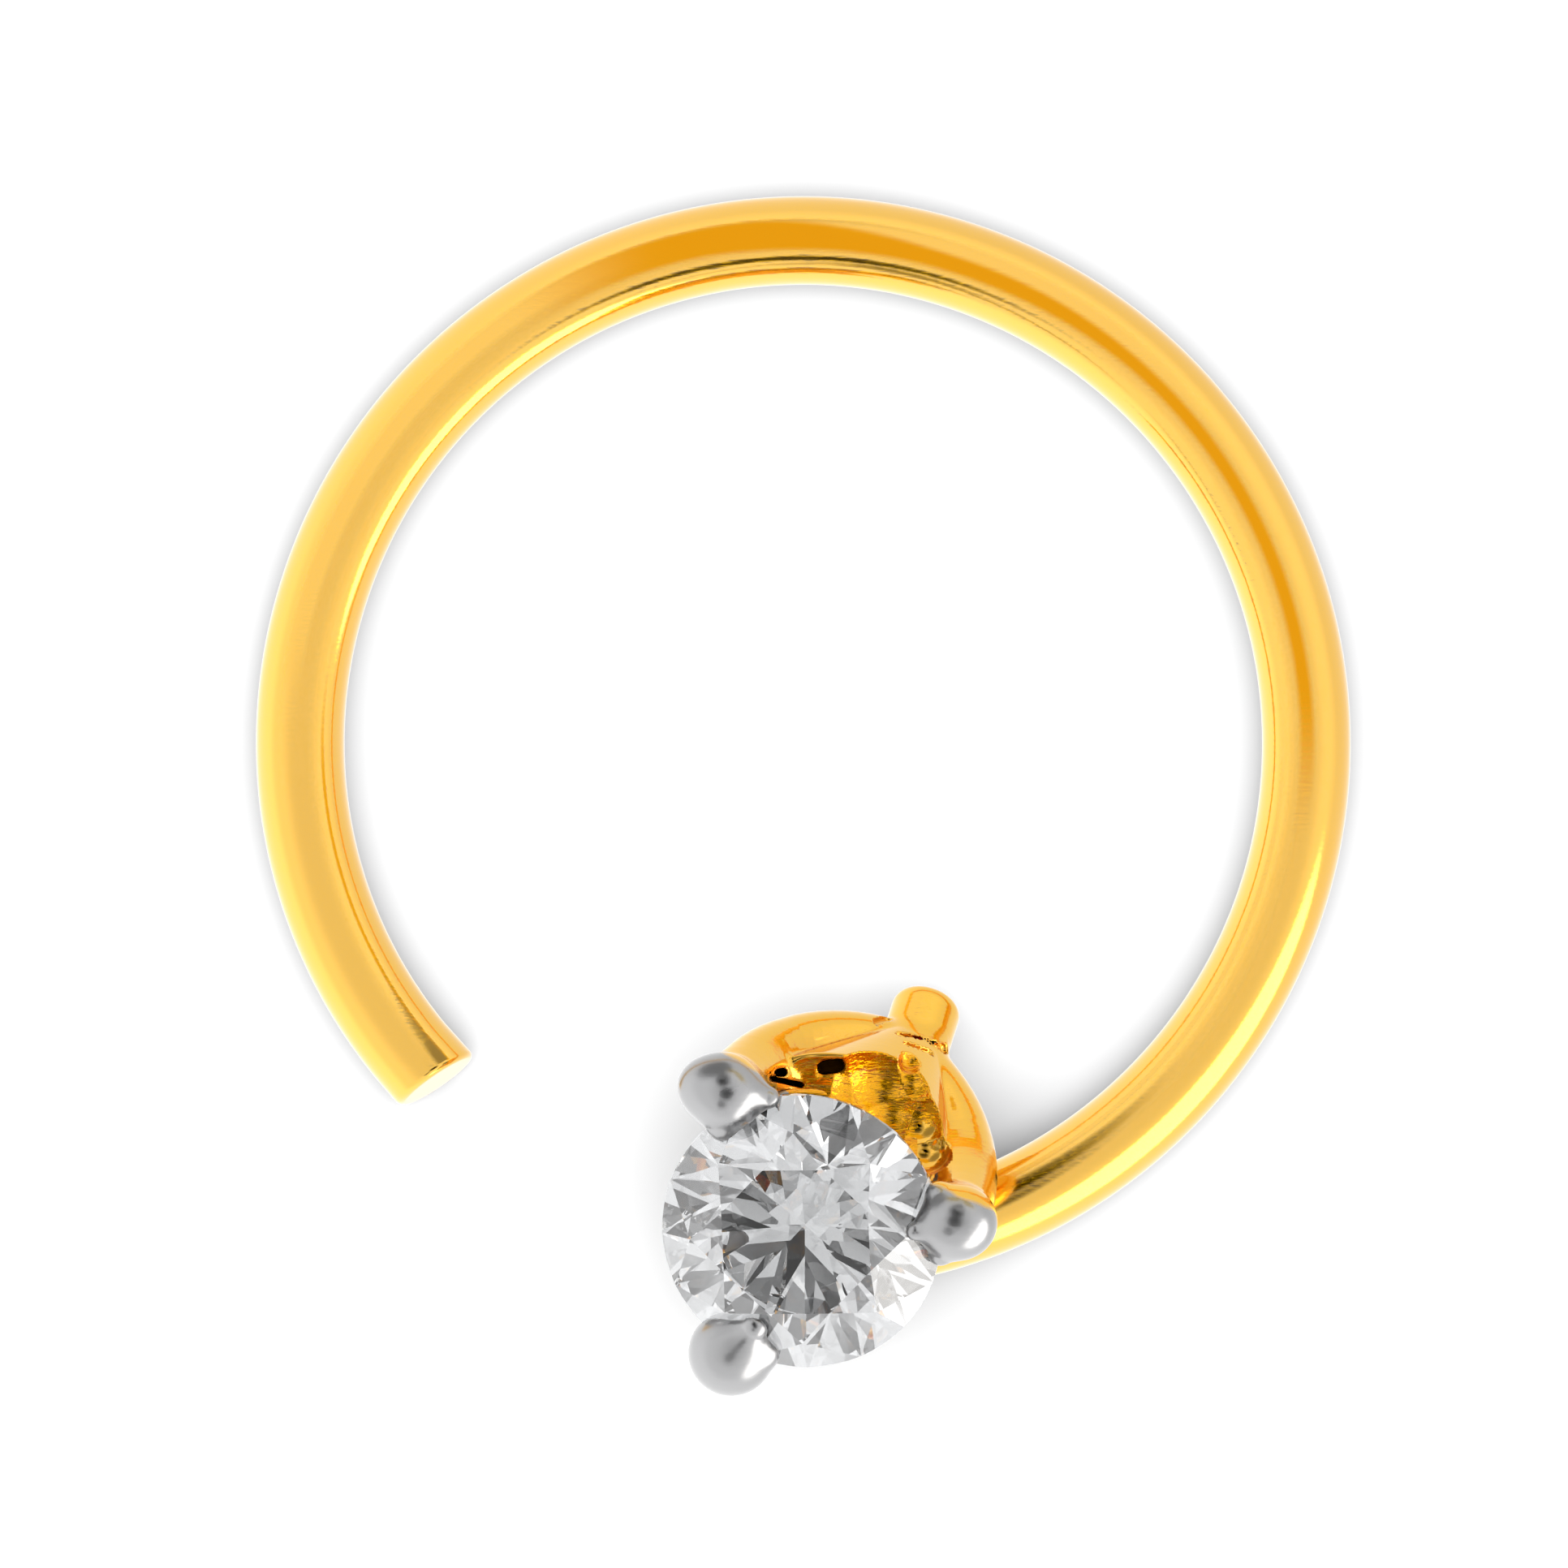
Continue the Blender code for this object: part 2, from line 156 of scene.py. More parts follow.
CENTRE = np.array([STONE_ACROSS, STONE_INWARD - HOOP_RADIUS,
                   2 * WIRE_RADIUS + CULET_OVER_WIRE + CULET_DEPTH * math.cos(STONE_LEAN)])
ALONG = direction(BASE_DIRECTION, STONE_LEAN)
ACROSS = direction(BASE_DIRECTION + math.pi / 2, 0.0)
NORMAL = np.cross(ALONG, ACROSS)
BASE = (np.array([CENTRE[0], CENTRE[1], 2 * WIRE_RADIUS + BASE_OVER_WIRE])
        + direction(BASE_DIRECTION - BASE_TURN, 0.0) * (STONE_RADIUS + BASE_BEYOND))
PEG_AXIS = direction(PEG_HEADING, -PEG_DROP)


def in_stone(along, across, up):
    """A shift in the stone's own directions: up its slope, across it and along its axis."""
    return ALONG * along + ACROSS * across + NORMAL * up


def over_girdle(x, y, up):
    """The point at x, y from the hoop's middle, at a height over the girdle's plane."""
    z = CENTRE[2] + (up - NORMAL[0] * (x - CENTRE[0]) - NORMAL[1] * (y - CENTRE[1])) / NORMAL[2]
    return np.array([x, y, z])


def new_object(name, mesh, material):
    made = bpy.data.objects.new(name, mesh)
    bpy.context.scene.collection.objects.link(made)
    mesh.materials.append(material)
    return made


# Shader groups

def new_group(name, inputs, outputs):
    """An empty shader group with named sockets. An input is (name, socket type, value)."""
    group = bpy.data.node_groups.new(name, "ShaderNodeTree")
    for socket, kind, value in inputs:
        made = group.interface.new_socket(socket, in_out="INPUT", socket_type=kind)
        if value is not None:
            made.default_value = value
    for socket, kind in outputs:
        group.interface.new_socket(socket, in_out="OUTPUT", socket_type=kind)
    return group, group.nodes.new("NodeGroupInput"), group.nodes.new("NodeGroupOutput")


def node(tree, kind, **values):
    """A node with its settings, and the values of the inputs that are named in inputs."""
    made = tree.nodes.new(kind)
    inputs = values.pop("inputs", {})
    for key, value in values.items():
        setattr(made, key, value)
    for key, value in inputs.items():
        made.inputs[key].default_value = value
    return made


def math_node(tree, operation, first, second=None, third=None, clamp=False):
    made = node(tree, "ShaderNodeMath", operation=operation, use_clamp=clamp)
    for place, value in enumerate((first, second, third)):
        if value is None:
            continue
        if isinstance(value, bpy.types.NodeSocket):
            tree.links.new(value, made.inputs[place])
        else:
            made.inputs[place].default_value = value
    return made.outputs[0]


def polish_group():
    """Fine buffing marks and faint unevenness: outputs a roughness and a normal."""
    group, enter, leave = new_group(
        "polished metal",
        [("Roughness", "NodeSocketFloat", 0.1), ("Haze", "NodeSocketFloat", 0.05),
         ("Marks", "NodeSocketFloat", 0.1), ("Waviness", "NodeSocketFloat", 0.1)],
        [("Roughness", "NodeSocketFloat"), ("Normal", "NodeSocketVector")])
    link = group.links.new
    place = node(group, "ShaderNodeTexCoord")
    cloud = node(group, "ShaderNodeTexNoise", inputs={"Scale": 900.0, "Detail": 3.0})
    link(place.outputs["Object"], cloud.inputs["Vector"])
    hazy = math_node(group, "MULTIPLY_ADD", cloud.outputs["Fac"], enter.outputs["Haze"],
                     enter.outputs["Roughness"])
    link(hazy, leave.inputs["Roughness"])
    stretch = node(group, "ShaderNodeMapping", inputs={"Scale": (1.0, 7.0, 7.0)})
    stretch.inputs["Rotation"].default_value = (0.3, 0.5, 0.9)
    link(place.outputs["Object"], stretch.inputs["Vector"])
    marks = node(group, "ShaderNodeTexNoise", inputs={"Scale": 4500.0, "Detail": 2.0})
    link(stretch.outputs["Vector"], marks.inputs["Vector"])
    wave = node(group, "ShaderNodeTexNoise", inputs={"Scale": 1500.0, "Detail": 1.0})
    link(place.outputs["Object"], wave.inputs["Vector"])
    fine = math_node(group, "MULTIPLY", marks.outputs["Fac"], enter.outputs["Marks"])
    broad = math_node(group, "MULTIPLY", wave.outputs["Fac"], enter.outputs["Waviness"])
    height = math_node(group, "ADD", fine, broad)
    bump = node(group, "ShaderNodeBump", inputs={"Strength": 0.5, "Distance": 0.00002})
    link(height, bump.inputs["Height"])
    link(bump.outputs["Normal"], leave.inputs["Normal"])
    return group


def tone_group():
    """Faint cloudy change of a metal's tone, and painted shade: a darker tone in its recesses."""
    group, enter, leave = new_group(
        "metal tone and painted shade",
        [("Tone", "NodeSocketColor", (0.9, 0.5, 0.1, 1.0)),
         ("Painted shade tone", "NodeSocketColor", (0.7, 0.3, 0.02, 1.0)),
         ("Change", "NodeSocketFloat", 0.1), ("Painted shade amount", "NodeSocketFloat", 0.5)],
        [("Color", "NodeSocketColor")])
    link = group.links.new
    place = node(group, "ShaderNodeTexCoord")
    cloud = node(group, "ShaderNodeTexNoise", inputs={"Scale": 700.0, "Detail": 2.0})
    link(place.outputs["Object"], cloud.inputs["Vector"])
    # Painted shade: the tone darkens where ambient occlusion finds the surface hemmed in
    hollow = node(group, "ShaderNodeAmbientOcclusion", samples=6, inputs={"Distance": 0.0005})
    closed = math_node(group, "SUBTRACT", 1.0, hollow.outputs["AO"], clamp=True)
    deep = math_node(group, "MULTIPLY", closed, enter.outputs["Painted shade amount"], clamp=True)
    cloudy = math_node(group, "MULTIPLY", cloud.outputs["Fac"], enter.outputs["Change"])
    share = math_node(group, "ADD", deep, cloudy, clamp=True)
    mix = node(group, "ShaderNodeMix", data_type="RGBA")
    link(share, mix.inputs["Factor"])
    link(enter.outputs["Tone"], mix.inputs["A"])
    link(enter.outputs["Painted shade tone"], mix.inputs["B"])
    link(mix.outputs["Result"], leave.inputs["Color"])
    return group


def plating_group():
    """Where the white plating covers the claws: inside a ball at each claw, up to a flat edge."""
    group, enter, leave = new_group(
        "claw plating",
        [("Softness", "NodeSocketFloat", 0.03)],
        [("Mask", "NodeSocketFloat")])
    place = node(group, "ShaderNodeTexCoord")
    ragged = node(group, "ShaderNodeTexNoise", inputs={"Scale": 3500.0, "Detail": 2.0})
    group.links.new(place.outputs["Object"], ragged.inputs["Vector"])
    waver = math_node(group, "MULTIPLY_ADD", ragged.outputs["Fac"], 0.06, -0.03)
    total = None
    for middle, reach, edge_at, edge_way in PLATED:
        off = node(group, "ShaderNodeVectorMath", operation="DISTANCE")
        group.links.new(place.outputs["Object"], off.inputs[0])
        off.inputs[1].default_value = (middle + HOOP_MIDDLE) * MM
        gap = math_node(group, "MULTIPLY_ADD", off.outputs["Value"], -1 / MM, reach)
        along = node(group, "ShaderNodeVectorMath", operation="DOT_PRODUCT")
        group.links.new(place.outputs["Object"], along.inputs[0])
        along.inputs[1].default_value = edge_way
        side = math_node(group, "MULTIPLY_ADD", along.outputs["Value"], -1 / MM,
                         (edge_at + HOOP_MIDDLE) @ edge_way)
        inner = math_node(group, "ADD", math_node(group, "MINIMUM", gap, side), waver)
        share = math_node(group, "DIVIDE", inner, enter.outputs["Softness"])
        share = math_node(group, "ADD", share, 0.5, clamp=True)
        total = share if total is None else math_node(group, "MAXIMUM", total, share)
    group.links.new(total, leave.inputs["Mask"])
    return group


# The plating on each claw: its ball's middle and radius, and a point and direction of its edge
PLATED = [
    (over_girdle(-0.63, -2.92, 0.1), 0.62, over_girdle(-0.41, -2.66, 0.2),
     unit(np.array([0.49, 0.87, 0.0]))),
    (over_girdle(1.22, -3.95, 0.1), 0.62, over_girdle(1.31, -3.71, 0.2),
     unit(np.array([0.40, 0.917, 0.0]))),
    (over_girdle(-0.58, -5.00, 0.1), 0.62, over_girdle(-0.58, -5.00, -0.6), NORMAL * -1.0),
]
POLISH = polish_group()
TONE = tone_group()
PLATING = plating_group()


def metal(name, coat):
    """A polished metal, with no tone or polish yet."""
    made = bpy.data.materials.new(name)
    made.use_nodes = True
    shader = made.node_tree.nodes["Principled BSDF"]
    shader.inputs["Metallic"].default_value = 1.0
    shader.inputs["Coat Weight"].default_value = coat
    shader.inputs["Coat Roughness"].default_value = 0.05
    shader.inputs["Coat IOR"].default_value = 2.0
    return made.node_tree, shader, made


def polish(tree, roughness, haze, marks, waviness):
    return node(tree, "ShaderNodeGroup", node_tree=POLISH,
                inputs={"Roughness": roughness, "Haze": haze, "Marks": marks,
                        "Waviness": waviness})


# deep and recess are the colour and amount of the painted shade in hollows
def tone(tree, colour, deep, change, recess):
    made = node(tree, "ShaderNodeGroup", node_tree=TONE,
                inputs={"Tone": (*colour, 1.0), "Painted shade tone": (*deep, 1.0), "Change": change,
                        "Painted shade amount": recess})
    return made.outputs["Color"]


# Roughness, haze, marks and waviness, and then tone, painted shade tone, change and painted shade
# amount in recesses
GOLD_POLISH = (0.10, 0.06, 0.12, 0.35)
GOLD_TONE = ((0.92, 0.505, 0.012), (0.74, 0.32, 0.002), 0.12, 1.0)
PLATED_POLISH = (0.25, 0.08, 0.3, 0.8)
PLATED_TONE = ((0.375, 0.375, 0.38), (0.15, 0.15, 0.155), 0.2, 0.7)
SEAT_POLISH = (0.45, 0.1, 0.5, 1.0)
# The seat's dark grey is painted shade, so that the stone shows dark arrows
SEAT_TONE = ((0.20, 0.20, 0.205), (0.05, 0.05, 0.05), 0.6, 0.3)
PIT_POLISH = (0.55, 0.1, 0.5, 1.0)
# The pits' dark brown is painted shade in the openings
PIT_TONE = ((0.34, 0.15, 0.004), (0.10, 0.04, 0.001), 0.4, 1.0)
CAST_POLISH = (0.11, 0.12, 1.6, 3.2)
# The recess's deeper amber is painted shade
CAST_TONE = ((0.96, 0.46, 0.006), (0.66, 0.25, 0.001), 0.3, 0.8)


def plain_metal(name, coat, polish_values, tone_values):
    """A metal with one finish all over."""
    tree, shader, made = metal(name, coat)
    finish = polish(tree, *polish_values)
    tree.links.new(finish.outputs["Roughness"], shader.inputs["Roughness"])
    tree.links.new(finish.outputs["Normal"], shader.inputs["Normal"])
    tree.links.new(tone(tree, *tone_values), shader.inputs["Base Color"])
    return made


def gold_material():
    return plain_metal("polished_gold", 0.9, GOLD_POLISH, GOLD_TONE)


def head_material():
    """Gold, with white rhodium on the claws."""
    tree, shader, made = metal("gold_with_plated_claws", 0.6)
    mask = node(tree, "ShaderNodeGroup", node_tree=PLATING, inputs={"Softness": 0.03})
    gold = polish(tree, *GOLD_POLISH)
    plated = polish(tree, *PLATED_POLISH)
    colour = node(tree, "ShaderNodeMix", data_type="RGBA")
    rough = node(tree, "ShaderNodeMix", data_type="FLOAT")
    link = tree.links.new
    link(mask.outputs["Mask"], colour.inputs["Factor"])
    link(tone(tree, *GOLD_TONE), colour.inputs["A"])
    link(tone(tree, *PLATED_TONE), colour.inputs["B"])
    link(colour.outputs["Result"], shader.inputs["Base Color"])
    link(mask.outputs["Mask"], rough.inputs["Factor"])
    link(gold.outputs["Roughness"], rough.inputs["A"])
    link(plated.outputs["Roughness"], rough.inputs["B"])
    link(rough.outputs["Result"], shader.inputs["Roughness"])
    link(gold.outputs["Normal"], shader.inputs["Normal"])
    return made


def seat_material():
    """The white plating under the stone, which only shows through it, in dark grey as painted
    shade.
    """
    return plain_metal("plated_seat_with_painted_shade", 0.0, SEAT_POLISH, SEAT_TONE)


def pit_material():
    """The inside of the small openings: rough, and dark brown as painted shade."""
    return plain_metal("rough_pits_with_painted_shade", 0.0, PIT_POLISH, PIT_TONE)


def cast_material():
    """The deep recess between the legs, left as cast and less even, in a deeper amber tone that is
    painted shade.
    """
    return plain_metal("cast_recess_with_painted_shade", 0.15, CAST_POLISH, CAST_TONE)


# Hoop

def hoop_point(angle):
    """A point on the hoop's line, which is pulled in towards the free end."""
    share = max(0.0, (angle - FREE_END) / PULL_IN_ANGLE + 1)
    radius = HOOP_RADIUS - PULL_IN * share * share
    return np.array([radius * math.cos(angle), radius * math.sin(angle), WIRE_RADIUS])


def make_wire():
    """The hoop's round wire, with a filed cut at the free end and a round hidden end."""
    step = (FREE_END - HIDDEN_END) / WIRE_STEPS
    spine = [hoop_point(HIDDEN_END + step * k) for k in range(WIRE_STEPS + 1)]
    around = np.linspace(0, 2 * math.pi, WIRE_SIDES, endpoint=False)
    rings = []

    def ring(middle, forward, radius):
        out = unit(np.cross(forward, np.array([0.0, 0.0, 1.0])))
        up = np.cross(out, forward)
        return (middle + np.outer(np.cos(around), out) * radius
                + np.outer(np.sin(around), up) * radius)

    start = unit(spine[1] - spine[0])
    for degrees in (82, 70, 57, 43, 28, 14):
        turn = math.radians(degrees)
        rings.append(ring(spine[0] - start * WIRE_RADIUS * math.sin(turn), start,
                          WIRE_RADIUS * math.cos(turn)))
    end = unit(spine[-1] - spine[-2])
    heading = math.atan2(end[1], end[0])
    face = direction(heading + CUT_SKEW, CUT_LEAN)
    spare = math.ceil(CUT_ROOM / (step * HOOP_RADIUS))
    for k, middle in enumerate(spine[:-spare]):
        forward = unit(spine[min(k + 1, WIRE_STEPS)] - spine[max(k - 1, 0)])
        rings.append(ring(middle, forward, WIRE_RADIUS))
    for part in range(10):
        turn = math.radians(10 * part)
        radius = WIRE_RADIUS - FILED_RIM * (1 - math.cos(turn))
        flat = ring(spine[-1], end, radius)
        reach = ((spine[-1] - flat) @ face) / (end @ face)
        back = FILED_RIM * (1 - math.sin(turn))
        rings.append(flat + np.outer(reach, end) - end * back)
    for share in (0.8, 0.5, 0.2):
        rings.append(spine[-1] + (rings[-1] - spine[-1]) * share)
    points = np.concatenate(rings)
    count = len(rings)
    faces = []
    for k in range(count - 1):
        for side in range(WIRE_SIDES):
            after = (side + 1) % WIRE_SIDES
            faces.append((k * WIRE_SIDES + side, k * WIRE_SIDES + after,
                          (k + 1) * WIRE_SIDES + after, (k + 1) * WIRE_SIDES + side))
    faces.append(tuple(reversed(range(WIRE_SIDES))))
    faces.append(tuple((count - 1) * WIRE_SIDES + side for side in range(WIRE_SIDES)))
    mesh = bpy.data.meshes.new("hoop_wire")
    mesh.from_pydata(((points + HOOP_MIDDLE) * MM).tolist(), [], faces)
    mesh.validate()
    mesh.shade_smooth()
    return new_object("hoop_wire", mesh, gold_material())


# Head, as distances to its forms

def to_rod(p, points, radii):
    """Distance to a rod along the points, with its own radius at each one. It is FAR well away."""
    near = np.full(len(p), FAR)
    low = np.min(points, axis=0) - max(radii) - ROD_REACH
    high = np.max(points, axis=0) + max(radii) + ROD_REACH
    inside = np.all((p > low) & (p < high), axis=1)
    q = p[inside]
    best = np.full(len(q), FAR)
    for a, b, ra, rb in zip(points[:-1], points[1:], radii[:-1], radii[1:]):
        run = b - a
        t = np.clip(((q - a) @ run) / (run @ run), 0, 1)
        gap = np.linalg.norm(q - a - t[:, None] * run, axis=1) - (ra + (rb - ra) * t)
        best = np.minimum(best, gap)
    near[inside] = best
    return near


def to_ball(p, middle, radius):
    return np.linalg.norm(p - middle, axis=1) - radius


def blend(a, b, fillet):
    """Union with a fillet."""
    h = np.maximum(fillet - np.abs(a - b), 0) / fillet
    return np.minimum(a, b) - h * h * fillet / 4


def cut(a, b, fillet):
    """a without b, with a worn edge."""
    return -blend(-a, b, fillet)


def bent(start, first, second, end, steps):
    """Points along a bend from start to end, shaped by two handles."""
    points = []
    for step in range(steps + 1):
        t = step / steps
        s = 1 - t
        points.append(start * s ** 3 + first * (3 * s * s * t) + second * (3 * s * t * t)
                      + end * t ** 3)
    return points


def claw_forms(angle, beyond, dome, leg_top, leg_low, out, side, down, base_along, base_across,
               base_up):
    """One claw as in the solid: its dome's middle and radius, and its leg's line and radii."""
    turn = math.radians(angle)
    radial = in_stone(math.cos(turn), math.sin(turn), 0.0)
    sideways = np.cross(NORMAL, radial)
    dome_at = CENTRE + radial * (STONE_RADIUS + beyond) + NORMAL * DOME_RISE
    top = dome_at - radial * LEG_INSET
    first = top + radial * out + sideways * side - NORMAL * down
    second = BASE + in_stone(base_along, base_across, base_up)
    leg = bent(top, first, second, BASE, LEG_STEPS)
    radii = [leg_top + (leg_low - leg_top) * min(1.0, k / LEG_TAPER_STEPS)
             for k in range(LEG_STEPS + 1)]
    return dome_at, dome, leg, radii


UPPER = claw_forms(56.3, 0.18, 0.32, 0.24, 0.20, 0.24, -0.14, 0.91, 0.0, 0.685, 0.126)
RIGHT = claw_forms(-56.0, 0.16, 0.31, 0.25, 0.225, 0.22, 0.09, 0.98, 0.140, -0.366, 0.043)
LOWER = claw_forms(179.2, 0.04, 0.35, 0.25, 0.200, 0.10, 0.0, 0.95, -0.967, 0.030, -0.201)


def on_crown(x, y, rise):
    """The point at x, y from the hoop's middle, at a height over the stone's crown."""
    up = HALF_GIRDLE
    for _ in range(3):
        d = over_girdle(x, y, up) - CENTRE
        off = np.linalg.norm(d - (d @ NORMAL) * NORMAL)
        up = HALF_GIRDLE + max(0.0, STONE_RADIUS - off) * math.tan(CROWN_ANGLE)
    return over_girdle(x, y, up + rise)


# The corners of each claw's wedge: x, y from the hoop's middle, radius. Each leg's width is how
# far its inner flank stands from its line.
UPPER_CORNERS = [(-0.28, -2.90, 0.09), (-0.66, -3.15, 0.10)]
RIGHT_CORNERS = [(1.09, -3.67, 0.09), (1.11, -4.18, 0.09), (0.91, -3.985, 0.08)]
LOWER_CORNERS = [(-0.31, -4.99, 0.11), (-0.40, -4.78, 0.11)]
UPPER_LOBE = (-0.83, -2.80, 0.18)
UPPER_WIDTH = np.array([0.03, -0.30, 0.06])
RIGHT_WIDTH = np.array([-0.30, -0.06, 0.06])
LOWER_WIDTH = np.array([0.0, 0.04, 0.0])
RIGHT_TUCK = np.array([-0.10, -0.03, 0.0])
NO_TUCK = np.zeros(3)


def to_claw(p, claw, corners, width, tuck=NO_TUCK):
    """A claw: its dome, the wedge from it onto the stone, and its broad leg, tucked in low."""
    dome_at, dome, leg, radii = claw
    form = to_ball(p, dome_at, dome)
    for x, y, radius in corners:
        corner = on_crown(x, y, radius * 0.4)
        form = blend(form, to_rod(p, [dome_at, corner], [dome * 0.72, radius]), WEDGE_FILLET)
    shares = [k / LEG_STEPS for k in range(LEG_STEPS + 1)]
    outer = [spot + tuck * math.sin(math.pi * share ** 3) for share, spot in zip(shares, leg)]
    inner = [spot + width * math.sin(math.pi * share ** 1.3)
             for share, spot in zip(shares, outer)]
    legs = blend(to_rod(p, outer, radii), to_rod(p, inner, radii), WEDGE_FILLET)
    return blend(form, legs, CLAW_FILLET)


def to_peg(p):
    """The peg, from inside the legs' meeting to its rounded end."""
    d = p - (BASE + PEG_AXIS * (PEG_LENGTH - PEG_HALF))
    along = d @ PEG_AXIS
    side = np.linalg.norm(d - along[:, None] * PEG_AXIS, axis=1) - PEG_RADIUS
    end = along - PEG_HALF
    return np.maximum(-blend(-side, -end, PEG_EDGE), -2 * PEG_HALF - along)


def to_cup(p):
    """The solid cup from the legs' meeting to its mouth under the stone, with a round foot."""
    mouth = CENTRE + in_stone(CUP_SHIFT, CUP_SIDE_SHIFT, -CUP_DEPTH)
    height = (mouth - BASE) @ NORMAL
    share = np.clip(((p - BASE) @ NORMAL) / height, -0.2, 1.1)
    middle = BASE + share[:, None] * (mouth - BASE)
    d = p - middle
    off = np.linalg.norm(d - (d @ NORMAL)[:, None] * NORMAL, axis=1)
    radius = CUP_FOOT_RADIUS + (CUP_MOUTH_RADIUS - CUP_FOOT_RADIUS) * share
    side = (off - radius) * CUP_SLANT
    top = (p - mouth) @ NORMAL
    bottom = -(p - BASE) @ NORMAL
    wall = np.maximum(-blend(-side, -top, CUP_EDGE), bottom)
    return blend(wall, to_ball(p, BASE, CUP_FOOT_RADIUS), CUP_EDGE)


def to_seat_ring(p):
    """The thin ring under the girdle."""
    d = p - (CENTRE + in_stone(RING_SHIFT, 0.0, -RING_DEPTH))
    up = d @ NORMAL
    off = np.linalg.norm(d - up[:, None] * NORMAL, axis=1)
    return np.hypot(off - (STONE_RADIUS - RING_INSIDE), up) - RING_TUBE


def to_stone(p):
    """Distance to the stone's outline turned round its axis."""
    d = p - CENTRE
    up = d @ NORMAL
    off = np.linalg.norm(d - up[:, None] * NORMAL, axis=1)
    crown = ((off - STONE_RADIUS) * math.sin(CROWN_ANGLE)
             + (up - HALF_GIRDLE) * math.cos(CROWN_ANGLE))
    under = ((off - STONE_RADIUS) * math.sin(PAVILION_ANGLE)
             - (up + HALF_GIRDLE) * math.cos(PAVILION_ANGLE))
    return np.maximum.reduce([off - STONE_RADIUS, up - CROWN_TOP, crown, under])


def to_slot(p, start, end, radius, top, depth):
    """Distance to an upright slot between two points in plan."""
    start, run = np.array(start), np.array(end) - np.array(start)
    q = p[:, :2] - start
    t = np.clip((q @ run) / (run @ run), 0, 1)
    side = np.linalg.norm(q - t[:, None] * run, axis=1) - radius
    return np.maximum(side, np.abs(p[:, 2] - top) - depth)


def to_claws(p):
    """The three claws and their legs, with the upper claw's second lobe."""
    upper = to_claw(p, UPPER, UPPER_CORNERS, UPPER_WIDTH)
    x, y, radius = UPPER_LOBE
    upper = blend(upper, to_ball(p, over_girdle(x, y, DOME_RISE), radius), LOBE_FILLET)
    right = to_claw(p, RIGHT, RIGHT_CORNERS, RIGHT_WIDTH, RIGHT_TUCK)
    lower = to_claw(p, LOWER, LOWER_CORNERS, LOWER_WIDTH)
    return blend(blend(upper, right, LEG_FILLET), lower, LOWER_LEG_FILLET)


def to_plain_head(p):
    """The head before its small marks and openings: claws, legs, peg, hollowed cup and ring."""
    form = blend(to_claws(p), to_peg(p), PEG_FILLET)
    cup = cut(to_cup(p), to_stone(p) - CUP_ROOM, CARVED_EDGE)
    for points, radii in VALLEY_RODS:
        cup = cut(cup, to_rod(p, points, radii), CARVED_EDGE)
    cup = cut(cup, to_rod(p, TROUGH, TROUGH_RADII), TROUGH_EDGE)
    form = blend(form, cup, SOLDER_FILLET)
    return blend(form, to_seat_ring(p), SOLDER_FILLET)


def top_at(x, y):
    """The height of the head's upper surface at x, y from the hoop's middle."""
    heights = np.arange(2.8, 0.6, -0.01)
    level = to_plain_head(np.stack([np.full_like(heights, x), np.full_like(heights, y),
                                    heights], axis=1))
    return heights[np.argmax(level < 0)]


# Small forms of the casting: x, y of both ends from the hoop's middle, radius
TROUGH = [over_girdle(x, y, -0.46) for x, y in ((0.05, -2.78), (0.52, -2.80), (0.86, -3.00),
                                                (0.98, -3.42))]
TROUGH_RADII = [0.22, 0.27, 0.25, 0.16]
SCOOP_DEPTH = 0.040
OPENING_TOP = 2.1
OPENING_DEPTH = 0.7
PIERCED = [(0.17, -2.66, 0.28, -2.64, 0.050), (-0.20, -2.70, -0.17, -2.695, 0.030),
           (-0.25, -2.745, -0.02, -2.80, 0.018)]
GROOVES = [(0.79, -2.39, 1.13, -2.505, 0.030), (0.84, -2.47, 1.04, -2.545, 0.024),
           (1.14, -2.505, 1.16, -2.51, 0.045), (0.60, -2.29, 0.70, -2.26, 0.035)]
VALLEY_CUTS = [(0.88, -2.60, 0.86, -2.72, 0.09), (0.50, -2.73, 0.82, -2.68, 0.13),
               (0.84, -2.74, 0.66, -2.92, 0.17), (0.86, -2.74, 0.99, -3.10, 0.13)]
RIDGES = [(0.94, -2.98, 0.96, -3.02, 0.030), (1.00, -3.13, 1.01, -3.16, 0.032),
          (1.03, -3.26, 1.04, -3.29, 0.030), (0.10, -2.73, 0.02, -2.72, 0.024)]
SCOOPS = [(0.44, -2.83, 0.30), (0.66, -2.82, 0.42), (0.86, -2.76, 0.28), (0.72, -3.00, 0.34),
          (0.92, -3.06, 0.30), (0.98, -3.28, 0.26)]


def placed(marks, sink):
    """The marks with the heights of their ends, sunk into the surface."""
    rods = []
    for x, y, end_x, end_y, radius in marks:
        rods.append(([np.array([x, y, top_at(x, y) - sink]),
                      np.array([end_x, end_y, top_at(end_x, end_y) - sink])], [radius] * 2))
    return rods


# The valley's rods are placed on the head without them, and the rest on the head with them.
VALLEY_RODS = []
VALLEY_RODS += placed(VALLEY_CUTS, -0.01)
RIDGE_RODS = placed(RIDGES, 0.012)
SCOOP_BALLS = [(np.array([x, y, top_at(x, y) + radius - SCOOP_DEPTH]), radius)
               for x, y, radius in SCOOPS]
GROOVE_RODS = placed(GROOVES, 0.022)


def to_pierced(p):
    """Distance to the small openings through the recess."""
    return np.minimum.reduce([
        to_slot(p, (x, y), (end_x, end_y), radius, OPENING_TOP, OPENING_DEPTH)
        for x, y, end_x, end_y, radius in PIERCED])


def to_carved(p):
    """Distance to what was cut out of the recess between the legs."""
    rods = [to_rod(p, points, radii) for points, radii in VALLEY_RODS]
    rods.append(to_rod(p, TROUGH, TROUGH_RADII))
    balls = [to_ball(p, middle, radius) for middle, radius in SCOOP_BALLS]
    return np.minimum.reduce(rods + balls)


